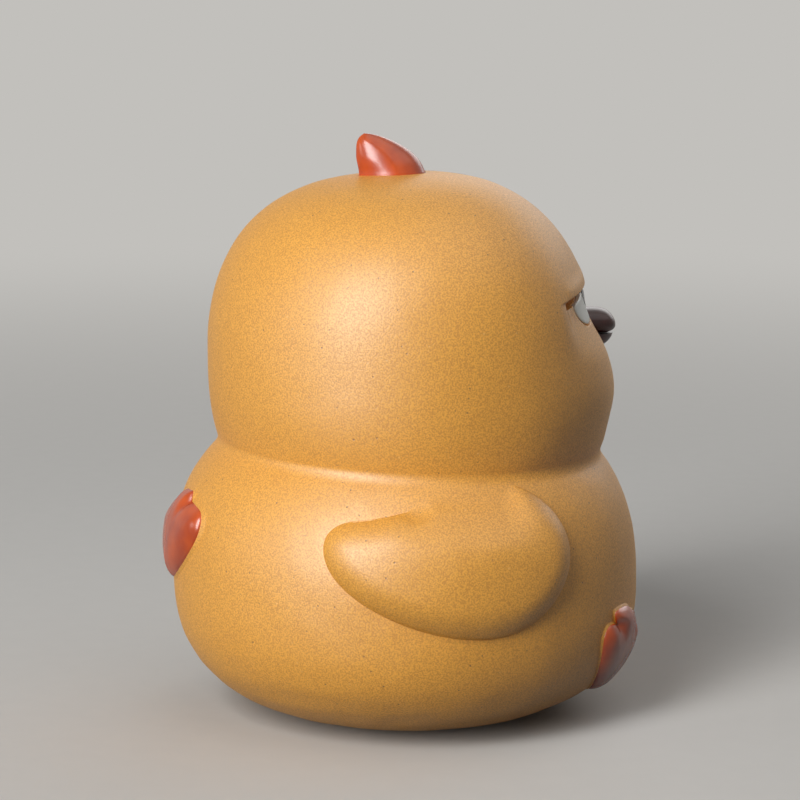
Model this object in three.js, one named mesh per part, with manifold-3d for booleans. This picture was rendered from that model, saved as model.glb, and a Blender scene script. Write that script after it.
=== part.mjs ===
// A tea pet in the shape of a seated chick: unglazed stoneware, pressed hollow and fired.
// Millimetres, +Z up. The chick faces -Y and its left side is +X. The origin is the centre of
// the flat base, on the surface that it stands on.

import * as THREE from 'three';
import { mergeVertices } from 'three/addons/utils/BufferGeometryUtils.js';
import Module from 'manifold-3d';

// Body: a squat egg with a flat base, leaning back a little, with the shoulders brought forward
const BODY_WIDTH = 53;
const BODY_DEPTH = 51.4;
const BODY_WIDEST_HEIGHT = 16.2;
const SHOULDER_RISE = 20.5;
const SHOULDER_POWER = 2.3;
const BELLY_POWER = 2.85;
const BODY_LEAN_ANGLE = 1.95;
const SHOULDER_FORWARD = 0.4;

// Base: a ring to stand on, closed from below by a disc with a vent
const BASE_DIAMETER = 22;
const BASE_RING_WIDTH = 2.6;
const BASE_LEDGE_WIDTH = 1.2;
const BASE_DISC_THICKNESS = 2.2;
const VENT_DIAMETER = 4.4;
const VENT_RIM_WIDTH = 1.6;

// Head: a round loaf, cut where it sits on the body; rises are measured from the neck
const NECK_HEIGHT = 29.4;
const NECK_TILT_ANGLE = 1.5;
const HEAD_WIDTH = 46.3;
const HEAD_HEIGHT = 30.1;
const HEAD_STUB = 2.6;
const FACE_REACH = 20.9;
const FACE_WIDEST_RISE = 2.15;
const CHIN_TUCK = 6.6;
const NAPE_REACH = 22.4;
const NAPE_WIDEST_RISE = 9.15;
const NAPE_TUCK = 11.8;
const TEMPLE_WIDEST_RISE = 8.6;
const TEMPLE_TUCK = 13.4;
const CROWN_POWER = 2.6;
const CHIN_POWER = 2.32;
const HEAD_FORWARD = 0.3;
const JAW_FULLNESS = 1.45;
const JAW_RISE = 6.9;
const JAW_SPREAD = 5;

// Shell wall, and the slip that lutes one piece to the next
const WALL = 3.6;
const LUTE = 0.2;

// Wings: leaf-shaped pads on the flanks, with the tip to the back
const WING_LENGTH = 28.5;
const WING_HEIGHT = 15.2;
const WING_RELIEF = 2.3;
const WING_ANGLE = 91;
const WING_TOP_DROP = 0.8;
const WING_ROUNDNESS = 2.2;

// Tail and feet: three-lobed pads with a coat of glaze that leaves a bare rim
const TAIL_WIDTH = 14.6;
const TAIL_HEIGHT = 10.6;
const TAIL_RELIEF = 0.6;
const TAIL_TOP_DROP = 4;
const FOOT_WIDTH = 10.8;
const FOOT_HEIGHT = 10.2;
const FOOT_RELIEF = 0.5;
const FOOT_ANGLE = 35.4;
const HEEL_RISE = 3.6;
const LOBE_ROUNDNESS = 4;
const LOBE_TAPER = 0.5;
const GLAZE_THICKNESS = 0.3;
const GLAZE_RIM = 0.5;
const GLAZE_GAP = 0.1;

// Comb: a flame on the crown, upright at the back
const COMB_LENGTH = 7.5;
const COMB_HEIGHT = 4.3;
const COMB_THICKNESS = 4.2;
const COMB_SETBACK = 5.9;
const COMB_TIP_FORWARD = 0.9;
const COMB_TIP_CURL = 9;
const COMB_FULLNESS = 1.9;
const COMB_TIP_FULLNESS = 0.6;

// Beak: two domes that meet at the mouth line, both flat on the mouth side
const MOUTH_RISE = 12.2;
const MOUTH_GAP = 0.2;
const UPPER_BEAK_WIDTH = 5.4;
const UPPER_BEAK_HEIGHT = 3;
const UPPER_BEAK_REACH = 2.8;
const UPPER_BEAK_ROUNDNESS = 3.2;
const UPPER_BEAK_LIFT = 1.35;
const LOWER_BEAK_WIDTH = 4.2;
const LOWER_BEAK_HEIGHT = 3.6;
const LOWER_BEAK_REACH = 2.1;
const LOWER_BEAK_ROUNDNESS = 1.45;
const BEAK_DROOP = 0.27;

// Eyes: flat-topped inlays in shallow sockets, raised to the beak, with the pupils towards it
const EYE_WIDTH = 8.8;
const EYE_HEIGHT = 4.2;
const EYE_THICKNESS = 0.8;
const EYE_ANGLE = 28;
const EYE_RISE = 16.3;
const EYE_TILT_ANGLE = 10;
const SOCKET_DEPTH = 1.5;
const SOCKET_GAP = 0.3;
const PUPIL_DIAMETER = 2;
const PUPIL_THICKNESS = 0.25;
const PUPIL_SHIFT = 2.7;
const PUPIL_RAISE = 0.45;
const EYE_ROUNDNESS = 4;

// Facets
const AROUND = 48;
const UPRIGHT_STEPS = 16;
const PAD_RINGS = 4;
const OUTLINE_STEPS = 40;
const LOBE_STEPS = 4;
const SMALL_OUTLINE_STEPS = 24;
const COMB_STEPS = 10;
const SLOPE_STEP = 0.001;

const LEFT = 1;
const RIGHT = -1;
const BELLY_DROP = BODY_WIDEST_HEIGHT / swell(BASE_DIAMETER / BODY_DEPTH, 1, BELLY_POWER);
const BODY_LEAN = Math.tan(radians(BODY_LEAN_ANGLE));
const BASE_OPENING_RADIUS = BASE_DIAMETER / 2 - BASE_RING_WIDTH;
const CLEAR_OF_ALL = 2 * (BODY_WIDTH + BODY_DEPTH + NECK_HEIGHT + HEAD_HEIGHT);

const wasm = await Module();
wasm.setup();

function radians(degrees) {
  return THREE.MathUtils.degToRad(degrees);
}

// How much of a full radius is left at a distance from its widest place
function swell(distance, reach, power) {
  const share = Math.min(1, Math.abs(distance) / reach);
  return Math.pow(1 - Math.pow(share, power), 1 / power);
}

// A closed geometry as a solid that can be joined and cut
function solidOf(geometry) {
  geometry.deleteAttribute('normal');
  geometry.deleteAttribute('uv');
  const merged = mergeVertices(geometry);
  const corners = merged.index.array;
  const triangles = [];
  for (let i = 0; i < corners.length; i += 3) {
    const [a, b, c] = corners.slice(i, i + 3);
    if (a !== b && b !== c && c !== a) {
      triangles.push(a, b, c);
    }
  }
  return new wasm.Manifold(new wasm.Mesh({
    numProp: 3,
    vertProperties: merged.attributes.position.array,
    triVerts: new Uint32Array(triangles),
  }));
}

function geometryOf(solid) {
  const mesh = solid.getMesh();
  const geometry = new THREE.BufferGeometry();
  geometry.setAttribute('position', new THREE.BufferAttribute(mesh.vertProperties, 3));
  geometry.setIndex(new THREE.BufferAttribute(mesh.triVerts, 1));
  geometry.computeVertexNormals();
  return geometry;
}

// A turned solid from [radius, height] pairs that start and end on the axis
function turned(pairs, segments = AROUND) {
  const profile = pairs.map(([radius, height]) => new THREE.Vector2(radius, height));
  const geometry = new THREE.LatheGeometry(profile, segments);
  geometry.rotateX(Math.PI / 2);
  return geometry;
}

// A block that holds everything on one side of a plane through the origin
function halfSpace(x, y, z) {
  const block = new THREE.BoxGeometry(1, 1, 1);
  block.translate(x / 2, y / 2, z / 2);
  return block.scale(CLEAR_OF_ALL, CLEAR_OF_ALL, CLEAR_OF_ALL);
}

// Everything above the neck, which tilts down at the front
function aboveNeck(gap) {
  return halfSpace(0, 0, 1).translate(0, 0, gap).rotateX(radians(NECK_TILT_ANGLE));
}

// One half of a shell, up to the mould seam in the middle plane
function moulded(shell, side) {
  return geometryOf(shell.intersect(solidOf(halfSpace(side, 0, 0))));
}

// The body's outer surface, or the same form brought in by an inset

function bodyRadius(height, inset) {
  const above = height > BODY_WIDEST_HEIGHT;
  const reach = above ? SHOULDER_RISE : BELLY_DROP;
  const power = above ? SHOULDER_POWER : BELLY_POWER;
  return (BODY_DEPTH / 2 - inset) * swell(height - BODY_WIDEST_HEIGHT, reach - inset, power);
}

// How far back the body's axis is at a height
function leanAt(height) {
  const shoulder = Math.max(0, height - BODY_WIDEST_HEIGHT) / (NECK_HEIGHT - BODY_WIDEST_HEIGHT);
  return height * BODY_LEAN - SHOULDER_FORWARD * shoulder * shoulder;
}

function bodyPoint(azimuth, height) {
  const radius = bodyRadius(height, 0);
  const x = radius * Math.sin(azimuth) * BODY_WIDTH / BODY_DEPTH;
  const y = -radius * Math.cos(azimuth) + leanAt(height);
  return new THREE.Vector3(x, y, height);
}

function bodyForm(inset) {
  const top = BODY_WIDEST_HEIGHT + SHOULDER_RISE - inset;
  const pairs = [[0, inset]];
  for (let step = 0; step <= UPRIGHT_STEPS; step++) {
    const climb = (1 - Math.cos(Math.PI * step / UPRIGHT_STEPS)) / 2;
    const height = inset + (top - inset) * climb;
    pairs.push([bodyRadius(height, inset), height]);
  }
  const geometry = turned(pairs);
  geometry.scale(BODY_WIDTH / BODY_DEPTH, 1, 1);
  const position = geometry.attributes.position;
  for (let i = 0; i < position.count; i++) {
    position.setY(i, position.getY(i) + leanAt(position.getZ(i)));
  }
  return solidOf(geometry);
}

function bodyShell() {
  const seat = BASE_DISC_THICKNESS + LUTE;
  const ledgeRadius = BASE_OPENING_RADIUS - BASE_LEDGE_WIDTH;
  const opening = turned([
    [0, -WALL],
    [BASE_OPENING_RADIUS, -WALL],
    [BASE_OPENING_RADIUS, seat],
    [ledgeRadius, seat],
    [ledgeRadius, 2 * WALL],
    [0, 2 * WALL],
  ]);
  const head = aboveNeck(0).translate(0, 0, NECK_HEIGHT);
  return bodyForm(0).subtract(bodyForm(WALL)).subtract(solidOf(opening)).subtract(solidOf(head));
}

function baseDisc() {
  const radius = BASE_OPENING_RADIUS - LUTE;
  const disc = turned([[0, 0], [radius, 0], [radius, BASE_DISC_THICKNESS], [0, BASE_DISC_THICKNESS]]);
  const ventRadius = VENT_DIAMETER / 2;
  const past = BASE_DISC_THICKNESS;
  const vent = turned([[0, -past], [ventRadius, -past], [ventRadius, 2 * past], [0, 2 * past]], AROUND / 2);
  vent.translate(0, radius - VENT_RIM_WIDTH - ventRadius, 0);
  return geometryOf(solidOf(disc).subtract(solidOf(vent)));
}

// The head's outer surface, in its own frame with the neck at height zero

function headReach(reach, widestRise, tuck, rise, inset) {
  const above = rise > widestRise;
  const limit = above ? HEAD_HEIGHT - widestRise : tuck + widestRise;
  const power = above ? CROWN_POWER : CHIN_POWER;
  return (reach - inset) * swell(rise - widestRise, limit - inset, power);
}

function headPoint(azimuth, rise, inset = 0) {
  const jaw = JAW_FULLNESS * Math.exp(-Math.pow((rise - JAW_RISE) / JAW_SPREAD, 2));
  const facing = Math.cos(azimuth);
  const depth = facing > 0
    ? headReach(FACE_REACH + jaw, FACE_WIDEST_RISE, CHIN_TUCK, rise, inset)
    : headReach(NAPE_REACH, NAPE_WIDEST_RISE, NAPE_TUCK, rise, inset);
  const width = headReach(HEAD_WIDTH / 2, TEMPLE_WIDEST_RISE, TEMPLE_TUCK, rise, inset);
  return new THREE.Vector3(width * Math.sin(azimuth), -depth * facing - HEAD_FORWARD, rise);
}

// Levels of the head's outline, closed over the crown and, below the neck, by a flat stub
function headForm(inset) {
  const pairs = [[0, -HEAD_STUB]];
  const high = HEAD_HEIGHT - inset;
  for (let step = 0; step <= UPRIGHT_STEPS; step++) {
    const climb = Math.sin(Math.PI / 2 * step / UPRIGHT_STEPS);
    pairs.push([step < UPRIGHT_STEPS ? 1 : 0, -HEAD_STUB + (high + HEAD_STUB) * climb]);
  }
  const geometry = turned(pairs);
  const position = geometry.attributes.position;
  for (let i = 0; i < position.count; i++) {
    const [x, y, rise] = [position.getX(i), position.getY(i), position.getZ(i)];
    const rim = headPoint(Math.atan2(x, -y), rise, inset);
    const axis = new THREE.Vector3(0, -HEAD_FORWARD, rise);
    position.setXYZ(i, ...axis.lerp(rim, Math.hypot(x, y)));
  }
  return solidOf(geometry);
}

function headShell() {
  let shell = headForm(0).intersect(solidOf(aboveNeck(LUTE))).subtract(headForm(WALL));
  for (const side of [LEFT, RIGHT]) {
    shell = shell.subtract(solidOf(eyeSocket(side)));
  }
  return shell;
}

// Pads: pieces laid on a curved surface. The outline is in millimetres around a place on the
// surface; the two faces stand off the surface by lifts that depend on how near the rim they are.

function outwardAt(surface, azimuth, height) {
  const around = surface(azimuth + SLOPE_STEP, height).sub(surface(azimuth - SLOPE_STEP, height));
  const upwards = surface(azimuth, height + SLOPE_STEP).sub(surface(azimuth, height - SLOPE_STEP));
  return around.cross(upwards).normalize();
}

function pad(surface, place, outline, underLift, overLift, droop = 0) {
  const points = place.side === LEFT ? outline : [...outline].reverse();
  const columns = points.length;
  const geometry = new THREE.SphereGeometry(1, columns, 2 * PAD_RINGS);
  const position = geometry.attributes.position;
  const centre = surface(place.azimuth, place.height);
  const radius = Math.hypot(centre.x, centre.y);
  for (let i = 0; i < position.count; i++) {
    const row = Math.floor(i / (columns + 1));
    const point = points[i % (columns + 1) % columns];
    const share = Math.sin(Math.PI * row / (2 * PAD_RINGS));
    const along = point.x * share;
    const up = point.y * share;
    const azimuth = place.side * (place.azimuth + along / radius);
    const lift = row < PAD_RINGS ? overLift(share, up) : underLift(share, up);
    const vertex = surface(azimuth, place.height + up);
    vertex.addScaledVector(outwardAt(surface, azimuth, place.height + up), lift);
    vertex.z -= droop * lift;
    position.setXYZ(i, ...vertex);
  }
  return geometryOf(solidOf(geometry));
}

// Curve points are shares of the length and height, counterclockwise from outside
function leafOutline(length, height) {
  const leaf = new THREE.Shape();
  const curve = (...shares) => {
    leaf.bezierCurveTo(...shares.map((share, i) => share * (i % 2 ? height : length)));
  };
  leaf.moveTo(0.5 * length, 0.13 * height);
  curve(0.5, 0.24, 0.44, 0.29, 0.37, 0.3);
  curve(0.19, 0.33, -0.08, 0.5, -0.24, 0.5);
  curve(-0.39, 0.5, -0.5, 0.3, -0.5, 0.09);
  curve(-0.5, -0.21, -0.33, -0.5, -0.12, -0.5);
  curve(0.14, -0.5, 0.5, -0.19, 0.5, 0.13);
  return leaf.getSpacedPoints(OUTLINE_STEPS).slice(0, -1);
}

// Half of a three-lobed leaf from its bottom point up to its middle lobe, and the half's mirror
function lobedOutline(width, height) {
  const half = [
    [[0, -0.5], [0.16, -0.36], [0.5, -0.12], [0.5, 0.14]],
    [[0.5, 0.14], [0.5, 0.27], [0.43, 0.345], [0.34, 0.345]],
    [[0.34, 0.345], [0.26, 0.345], [0.19, 0.34], [0.155, 0.295]],
    [[0.155, 0.295], [0.19, 0.43], [0.11, 0.5], [0, 0.5]],
  ];
  const mirrored = half.map((curve) => curve.map(([x, y]) => [-x, y]).reverse()).reverse();
  const lobes = new THREE.Shape();
  lobes.moveTo(0, -0.5 * height);
  for (const [, first, second, end] of [...half, ...mirrored]) {
    lobes.bezierCurveTo(...[first, second, end].flatMap(([x, y]) => [x * width, y * height]));
  }
  return lobes.getPoints(LOBE_STEPS).slice(0, -1);
}

function ovalOutline(width, height) {
  const oval = new THREE.EllipseCurve(0, 0, width / 2, height / 2);
  return oval.getPoints(SMALL_OUTLINE_STEPS).slice(0, -1);
}

// A flat lid line over a half-round lower edge
function lidOutline(width, height) {
  const lid = new THREE.Shape();
  lid.moveTo(-width / 2, height / 2);
  lid.absellipse(0, height / 2, width / 2, height, Math.PI, 2 * Math.PI, false);
  lid.lineTo(-width / 2, height / 2);
  return lid.getSpacedPoints(SMALL_OUTLINE_STEPS).slice(0, -1);
}

function wing(side) {
  const height = NECK_HEIGHT - WING_TOP_DROP - WING_HEIGHT / 2;
  const place = { azimuth: radians(WING_ANGLE), height, side };
  const over = (share) => LUTE + WING_RELIEF * swell(share, 1, WING_ROUNDNESS);
  return pad(bodyPoint, place, leafOutline(WING_LENGTH, WING_HEIGHT), () => LUTE, over);
}

// A lobed pad thins out to its bottom point; its glaze follows the top, inside a bare rim
function lobedPad(place, width, height, relief) {
  const top = (share, up) => {
    const thickness = relief * (1 - LOBE_TAPER * (0.5 - up / height));
    return LUTE + thickness * swell(share, 1, LOBE_ROUNDNESS);
  };
  const glazeShare = 1 - 2 * GLAZE_RIM / width;
  const outline = lobedOutline(width, height);
  const glazeOutline = outline.map((point) => point.clone().multiplyScalar(glazeShare));
  const glazeUnder = (share, up) => top(share * glazeShare, up) + GLAZE_GAP;
  const coat = (share) => GLAZE_THICKNESS * swell(share, 1, LOBE_ROUNDNESS);
  const glazeOver = (share, up) => glazeUnder(share, up) + coat(share);
  return {
    clay: pad(bodyPoint, place, outline, () => LUTE, top),
    glaze: pad(bodyPoint, place, glazeOutline, glazeUnder, glazeOver),
  };
}

function tail() {
  const height = NECK_HEIGHT - TAIL_TOP_DROP - TAIL_HEIGHT / 2;
  const place = { azimuth: Math.PI, height, side: LEFT };
  return lobedPad(place, TAIL_WIDTH, TAIL_HEIGHT, TAIL_RELIEF);
}

function foot(side) {
  const place = { azimuth: radians(FOOT_ANGLE), height: HEEL_RISE + FOOT_HEIGHT / 2, side };
  return lobedPad(place, FOOT_WIDTH, FOOT_HEIGHT, FOOT_RELIEF);
}

// How much of its foot's size the flame keeps at a share of its height
function flameShare(climb) {
  const risen = THREE.MathUtils.clamp(climb, 0, 1);
  return Math.pow(1 - Math.pow(risen, COMB_FULLNESS), COMB_TIP_FULLNESS);
}

// Each level is an oval whose back end stays in line, so the flame stands up at its back edge
function comb() {
  const pairs = [[0, -1], [1, -1]];
  for (let step = 0; step <= COMB_STEPS; step++) {
    const climb = Math.sin(Math.PI / 2 * step / COMB_STEPS);
    pairs.push([flameShare(climb), climb]);
  }
  const geometry = turned(pairs, AROUND / 2);
  const position = geometry.attributes.position;
  for (let i = 0; i < position.count; i++) {
    const climb = position.getZ(i);
    const x = position.getX(i) * COMB_THICKNESS / 2;
    const back = COMB_SETBACK - COMB_TIP_FORWARD * Math.pow(climb, COMB_TIP_CURL);
    const y = back + (position.getY(i) - flameShare(climb)) * COMB_LENGTH / 2;
    position.setXYZ(i, x, y, HEAD_HEIGHT + climb * COMB_HEIGHT);
  }
  return geometryOf(solidOf(geometry).subtract(headForm(-LUTE)));
}

// A dome on the face, cut flat along the mouth on the side away from it
function beak(width, height, rise, reach, roundness, away) {
  const place = { azimuth: 0, height: rise, side: LEFT };
  const over = (share) => LUTE + reach * swell(share, 1, roundness);
  const dome = pad(headPoint, place, ovalOutline(width, height), () => LUTE, over, BEAK_DROOP);
  const mouth = halfSpace(0, 0, away).translate(0, 0, MOUTH_RISE + away * MOUTH_GAP / 2);
  return geometryOf(solidOf(dome).intersect(solidOf(mouth)));
}

function upperBeak() {
  const rise = MOUTH_RISE + UPPER_BEAK_LIFT;
  return beak(UPPER_BEAK_WIDTH, UPPER_BEAK_HEIGHT, rise, UPPER_BEAK_REACH, UPPER_BEAK_ROUNDNESS, 1);
}

function lowerBeak() {
  return beak(LOWER_BEAK_WIDTH, LOWER_BEAK_HEIGHT, MOUTH_RISE, LOWER_BEAK_REACH, LOWER_BEAK_ROUNDNESS, -1);
}

function eyePlace(side) {
  return { azimuth: radians(EYE_ANGLE), height: EYE_RISE, side };
}

// A point of the upright eye, turned so that the outer corner is down
function tilted(point) {
  return point.rotateAround(new THREE.Vector2(), -radians(EYE_TILT_ANGLE));
}

function eyeOutline(gap) {
  return lidOutline(EYE_WIDTH + 2 * gap, EYE_HEIGHT + 2 * gap).map(tilted);
}

function eyeSocket(side) {
  const outline = eyeOutline(SOCKET_GAP);
  return pad(headPoint, eyePlace(side), outline, () => -SOCKET_DEPTH, () => SOCKET_DEPTH);
}

function eye(side) {
  const under = LUTE - SOCKET_DEPTH;
  const over = (share) => under + EYE_THICKNESS * swell(share, 1, EYE_ROUNDNESS);
  return pad(headPoint, eyePlace(side), eyeOutline(0), () => under, over);
}

function pupil(side) {
  const place = eyePlace(side);
  const centre = headPoint(place.azimuth, place.height);
  const offset = tilted(new THREE.Vector2(-PUPIL_SHIFT, PUPIL_RAISE));
  place.azimuth += offset.x / Math.hypot(centre.x, centre.y);
  place.height += offset.y;
  const eyeTop = LUTE - SOCKET_DEPTH + EYE_THICKNESS;
  const under = eyeTop + LUTE;
  const over = (share) => under + PUPIL_THICKNESS * swell(share, 1, EYE_ROUNDNESS);
  return pad(headPoint, place, ovalOutline(PUPIL_DIAMETER, PUPIL_DIAMETER), () => under, over);
}

const FINISHES = {
  clay: { color: '#dca253', roughness: 0.55, metalness: 0 },
  redGlaze: { color: '#c04f02', roughness: 0.15, metalness: 0 },
  beakGlaze: { color: '#4a1a14', roughness: 0.2, metalness: 0 },
  whiteClay: { color: '#c9c6bd', roughness: 0.5, metalness: 0 },
  blackClay: { color: '#1c1a19', roughness: 0.4, metalness: 0 },
};

function piece(name, geometry, finish) {
  const mesh = new THREE.Mesh(geometry, new THREE.MeshStandardMaterial(FINISHES[finish]));
  mesh.name = name;
  return mesh;
}

const body = new THREE.Group();
const shell = bodyShell();
body.add(piece('body_left_half', moulded(shell, LEFT), 'clay'));
body.add(piece('body_right_half', moulded(shell, RIGHT), 'clay'));
body.add(piece('base_disc', baseDisc(), 'clay'));
body.add(piece('wing_left', wing(LEFT), 'clay'));
body.add(piece('wing_right', wing(RIGHT), 'clay'));

const tailPad = tail();
body.add(piece('tail', tailPad.clay, 'clay'));
body.add(piece('tail_glaze', tailPad.glaze, 'redGlaze'));
for (const [name, side] of [['foot_left', LEFT], ['foot_right', RIGHT]]) {
  const footPad = foot(side);
  body.add(piece(name, footPad.clay, 'clay'));
  body.add(piece(`${name}_glaze`, footPad.glaze, 'redGlaze'));
}

const head = new THREE.Group();
head.position.z = NECK_HEIGHT;
const skull = headShell();
head.add(piece('head_left_half', moulded(skull, LEFT), 'clay'));
head.add(piece('head_right_half', moulded(skull, RIGHT), 'clay'));
head.add(piece('comb', comb(), 'redGlaze'));
head.add(piece('beak_upper', upperBeak(), 'beakGlaze'));
head.add(piece('beak_lower', lowerBeak(), 'beakGlaze'));
for (const [name, side] of [['left', LEFT], ['right', RIGHT]]) {
  head.add(piece(`eye_${name}`, eye(side), 'whiteClay'));
  head.add(piece(`pupil_${name}`, pupil(side), 'blackClay'));
}

const chick = new THREE.Group();
chick.add(body, head);

export default chick;
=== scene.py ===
import math

import bmesh
import bpy
import numpy as np
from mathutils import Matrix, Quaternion, Vector, noise


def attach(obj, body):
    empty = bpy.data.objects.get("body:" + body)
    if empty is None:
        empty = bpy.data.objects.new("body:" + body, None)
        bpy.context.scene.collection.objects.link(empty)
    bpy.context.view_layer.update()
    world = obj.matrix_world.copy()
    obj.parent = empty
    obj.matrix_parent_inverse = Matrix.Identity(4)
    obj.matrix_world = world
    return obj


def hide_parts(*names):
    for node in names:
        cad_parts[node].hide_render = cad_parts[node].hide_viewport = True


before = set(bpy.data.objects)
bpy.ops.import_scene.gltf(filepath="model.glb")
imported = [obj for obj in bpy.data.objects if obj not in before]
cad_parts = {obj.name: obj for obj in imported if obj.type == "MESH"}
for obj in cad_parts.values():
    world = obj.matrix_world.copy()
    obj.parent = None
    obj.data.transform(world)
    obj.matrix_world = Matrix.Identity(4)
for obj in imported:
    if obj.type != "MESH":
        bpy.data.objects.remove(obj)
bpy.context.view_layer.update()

# The body is a squat hollow egg of ochre stoneware, pressed in two mould halves that are joined
# with slip along the middle and wiped smooth. It stands on a flat ring and leans back a little. At
# the neck it meets the head, and the slip that holds the two is wiped into a soft hollow all round.
MM = 0.001
LEFT, RIGHT = 1, -1
BODY_WIDTH = 53.0
BODY_DEPTH = 51.4
BODY_WIDEST_HEIGHT = 16.2
SHOULDER_RISE = 20.5
SHOULDER_POWER = 2.3
SHOULDER_FORWARD = 0.4
BELLY_POWER = 2.85
BODY_LEAN = math.tan(math.radians(1.95))
BASE_RADIUS = 11.0
BASE_OPENING_RADIUS = 8.25
BASE_SEAT_HEIGHT = 2.4
BASE_LEDGE_RADIUS = 7.2
WALL = 3.6
NECK_HEIGHT = 29.4
NECK_AXIS = 0.7
NECK_SLIP = 1.0
HEAD_WIDTH = 46.3
HEAD_HEIGHT = 30.1
HEAD_FORWARD = 0.3
FACE_REACH = 20.9
FACE_WIDEST_RISE = 2.15
CHIN_TUCK = 6.6
NAPE_REACH = 22.4
NAPE_WIDEST_RISE = 9.15
NAPE_TUCK = 11.8
TEMPLE_WIDEST_RISE = 8.6
TEMPLE_TUCK = 13.4
CROWN_POWER = 2.6
CHIN_POWER = 2.32
JAW_FULLNESS = 1.45
JAW_RISE = 6.9
JAW_SPREAD = 5.0
BODY_COLUMNS = 150
BODY_ROWS = 120


def swell(distance, reach, power):
    """How much of a full radius is left at a distance from its widest place."""
    share = np.minimum(1.0, np.abs(distance) / reach)
    return (1.0 - share ** power) ** (1.0 / power)


BELLY_DROP = BODY_WIDEST_HEIGHT / float(swell(2 * BASE_RADIUS / BODY_DEPTH, 1.0, BELLY_POWER))


def lean_at(height):
    """How far back the body's axis is at a height."""
    shoulder = np.maximum(0.0, height - BODY_WIDEST_HEIGHT) / (NECK_HEIGHT - BODY_WIDEST_HEIGHT)
    return height * BODY_LEAN - SHOULDER_FORWARD * shoulder ** 2


def body_radius(height):
    """The body's radius from front to back at a height."""
    above = height > BODY_WIDEST_HEIGHT
    reach = np.where(above, SHOULDER_RISE, BELLY_DROP)
    power = np.where(above, SHOULDER_POWER, BELLY_POWER)
    return BODY_DEPTH / 2 * swell(height - BODY_WIDEST_HEIGHT, reach, power)


def body_point(azimuth, height):
    """A point of the body's outer face; azimuth runs from the front, positive to the left."""
    radius = body_radius(height)
    x = radius * np.sin(azimuth) * BODY_WIDTH / BODY_DEPTH
    y = -radius * np.cos(azimuth) + lean_at(height)
    return np.stack(np.broadcast_arrays(x, y, height), axis=-1)


def head_reach(reach, widest, tuck, rise):
    """How far one way of the head reaches at a rise, from its widest place up and down."""
    above = rise > widest
    limit = np.where(above, HEAD_HEIGHT - widest, tuck + widest)
    power = np.where(above, CROWN_POWER, CHIN_POWER)
    return reach * swell(rise - widest, limit, power)


def head_spread(rise):
    """How far the head reaches to each side, to the front and to the back, at a rise."""
    jaw = JAW_FULLNESS * np.exp(-((rise - JAW_RISE) / JAW_SPREAD) ** 2)
    side = head_reach(HEAD_WIDTH / 2, TEMPLE_WIDEST_RISE, TEMPLE_TUCK, rise)
    front = head_reach(FACE_REACH + jaw, FACE_WIDEST_RISE, CHIN_TUCK, rise)
    back = head_reach(NAPE_REACH, NAPE_WIDEST_RISE, NAPE_TUCK, rise)
    return side, front, back


def head_point(azimuth, rise):
    """A point of the head's outer face; its rise is measured from the neck."""
    side, front, back = head_spread(rise)
    facing = np.cos(azimuth)
    x = side * np.sin(azimuth)
    y = -np.where(facing > 0, front, back) * facing - HEAD_FORWARD
    return np.stack(np.broadcast_arrays(x, y, rise + NECK_HEIGHT), axis=-1)


def oval_reach(turn, side, depth, centre):
    """How far an oval reaches from the upright axis of the neck, in the direction of a turn."""
    offset = NECK_AXIS - centre
    square = (np.sin(turn) / side) ** 2 + (np.cos(turn) / depth) ** 2
    skew = offset * np.cos(turn) / depth ** 2
    return (skew + np.sqrt(skew ** 2 - square * ((offset / depth) ** 2 - 1))) / square


def neck_gap(points):
    """How much further the body reaches from the neck's axis than the head, beside given points."""
    turn = np.arctan2(points[..., 0], NECK_AXIS - points[..., 1])
    height = np.clip(points[..., 2], NECK_HEIGHT - 4.0, NECK_HEIGHT + 4.0)
    radius = body_radius(height)
    body = oval_reach(turn, radius * BODY_WIDTH / BODY_DEPTH, radius, lean_at(height))
    side, front, back = head_spread(height - NECK_HEIGHT)
    face = oval_reach(turn, side, front, -HEAD_FORWARD)
    nape = oval_reach(turn, side, back, -HEAD_FORWARD)
    head = np.where(NECK_AXIS - face * np.cos(turn) < -HEAD_FORWARD, face, nape)
    return body - head


def neck_line(surface, azimuth):
    """The heights at which the body and the head meet, along the azimuths of either surface."""
    low = np.full_like(azimuth, NECK_HEIGHT - 3.0)
    high = np.full_like(azimuth, NECK_HEIGHT + 3.0)
    for _ in range(40):
        middle = (low + high) / 2
        below = neck_gap(surface(azimuth, middle)) > 0
        low = np.where(below, middle, low)
        high = np.where(below, high, middle)
    return low


def wiped_slip(points):
    """How far the slip in the neck brings points of either surface out from the neck's axis."""
    near = np.clip(1 - np.abs(neck_gap(points)) / NECK_SLIP, 0.0, None)
    out = points * [1, 1, 0] - [0, NECK_AXIS, 0]
    length = np.maximum(np.linalg.norm(out, axis=-1), 1e-6)
    return out * (near ** 2 * NECK_SLIP / 4 / length)[..., None]


def outward(surface, azimuth, height, step=0.001):
    """The unit normal of a surface that is given by azimuth and height."""
    around = surface(azimuth + step, height) - surface(azimuth - step, height)
    upwards = surface(azimuth, height + step) - surface(azimuth, height - step)
    normal = np.cross(around, upwards)
    return normal / np.linalg.norm(normal, axis=-1, keepdims=True)


def hand_made(points, size, depth):
    """Small unevenness of hand-finished clay, of a size and a depth in millimetres."""
    flat = points.reshape(-1, 3) / size
    waves = np.array([noise.noise(Vector(point)) for point in flat])
    return depth * waves.reshape(points.shape[:-1])


def body_finish(points):
    """How uneven the hand-finished body is at its points, most of all round the base."""
    points = np.abs(points * [1, 0, 0]) + points * [0, 1, 1]
    near_base = np.exp(-((points[..., 2] - 4.0) / 3.0) ** 2)
    even = hand_made(points, 7.0, 0.09) + hand_made(points, 2.6, 0.035)
    return even + near_base * hand_made(points * [1, 1, 2.5], 4.0, 0.09)


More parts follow.
